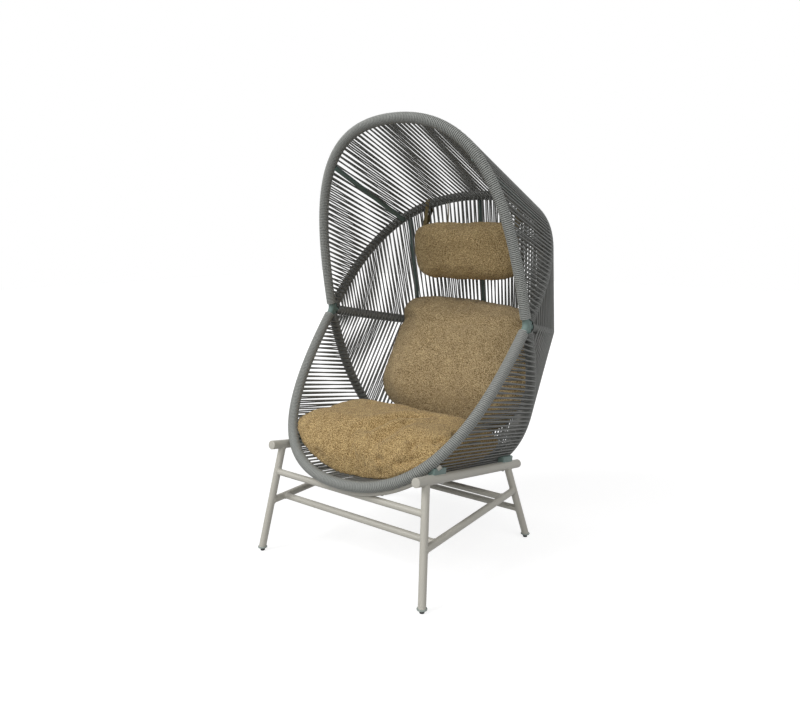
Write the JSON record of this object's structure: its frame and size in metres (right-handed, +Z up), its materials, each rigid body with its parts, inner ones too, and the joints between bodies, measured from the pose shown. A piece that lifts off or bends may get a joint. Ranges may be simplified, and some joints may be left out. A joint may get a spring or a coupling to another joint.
{
  "type": "pod lounge chair",
  "caption": "High-backed hooded lounge chair: a shell of bent tube bows strung with round cord, cradled on a splayed four-legged tube base, with cushions for seat, back and head.",
  "frame": {"origin": "on the floor, under the middle of the chair's outline", "axes": "+Z up, the chair faces -Y, +X is to the right of somebody who looks at its front"},
  "size_m": [0.8722, 0.9326, 1.4675],
  "materials": {
    "cord": "braided round polyester cord, matt",
    "shell_paint": "satin powder coat, teal grey",
    "base_paint": "satin powder coat, light warm grey",
    "glide_plastic": "moulded, black",
    "insert_plastic": "moulded, teal grey",
    "bolt_steel": "plain stainless",
    "seat_fabric": "ribbed ochre weave",
    "back_fabric": "ribbed ochre weave",
    "head_fabric": "ribbed ochre weave",
    "strap_web": "flat woven webbing, olive"
  },
  "bodies": {
    "chair": {"front_rim_tube": "shell_paint", "rear_arch_tube": "shell_paint", "middle_hoop_tube": "shell_paint", "lower_hoop_tube": "shell_paint", "canopy_cords": "cord", "back_cords": "cord", "lower_back_cords": "cord", "seat_cords": "cord", "lower_rim_winding": "cord", "canopy_strut_left": "shell_paint", "canopy_strut_right": "shell_paint", "back_stay_left": "shell_paint", "back_stay_right": "shell_paint", "back_stay_centre": "shell_paint", "rail_left": "base_paint", "rail_right": "base_paint", "rail_cap_front_left": "base_paint", "rail_cap_front_right": "base_paint", "rail_cap_rear_left": "base_paint", "rail_cap_rear_right": "base_paint", "leg_front_left": "base_paint", "leg_front_right": "base_paint", "leg_rear_left": "base_paint", "leg_rear_right": "base_paint", "foot_insert_front_left": "insert_plastic", "foot_insert_front_right": "insert_plastic", "foot_insert_rear_left": "insert_plastic", "foot_insert_rear_right": "insert_plastic", "cradle_bar": "base_paint", "front_crossbar": "base_paint", "rear_crossbar": "base_paint", "side_stretcher_left": "base_paint", "side_stretcher_right": "base_paint", "front_cross_stretcher": "base_paint", "rear_cross_stretcher": "base_paint", "shell_bracket_front_left": "shell_paint", "shell_bracket_front_right": "shell_paint", "shell_bracket_rear_left": "shell_paint", "shell_bracket_rear_right": "shell_paint", "bracket_bolt_front_left": "bolt_steel", "bracket_bolt_front_right": "bolt_steel", "bracket_bolt_rear_left": "bolt_steel", "bracket_bolt_rear_right": "bolt_steel", "seat_cushion": "seat_fabric", "back_cushion": "back_fabric"},
    "pillow": {"head_pillow": "head_fabric", "pillow_strap_left": "strap_web", "pillow_strap_right": "strap_web", "pillow_tie": "strap_web"},
    "glide_front_left": {"foot_glide_front_left": "glide_plastic"},
    "glide_front_right": {"foot_glide_front_right": "glide_plastic"},
    "glide_rear_left": {"foot_glide_rear_left": "glide_plastic"},
    "glide_rear_right": {"foot_glide_rear_right": "glide_plastic"}
  },
  "joints": [
    {"name": "pillow_swing", "type": "hinge", "parent": "chair", "child": "pillow", "pos_m": [0, 0.3522, 1.1978], "axis": [-1, 0, 0], "range_deg": [0, 45]},
    {"name": "glide_front_left_adjust", "type": "slide", "parent": "chair", "child": "glide_front_left", "axis": [0, 0, -1], "range_m": [0, 0.008]},
    {"name": "glide_front_right_adjust", "type": "slide", "parent": "chair", "child": "glide_front_right", "axis": [0, 0, -1], "range_m": [0, 0.008]},
    {"name": "glide_rear_left_adjust", "type": "slide", "parent": "chair", "child": "glide_rear_left", "axis": [0, 0, -1], "range_m": [0, 0.008]},
    {"name": "glide_rear_right_adjust", "type": "slide", "parent": "chair", "child": "glide_rear_right", "axis": [0, 0, -1], "range_m": [0, 0.008]}
  ]
}
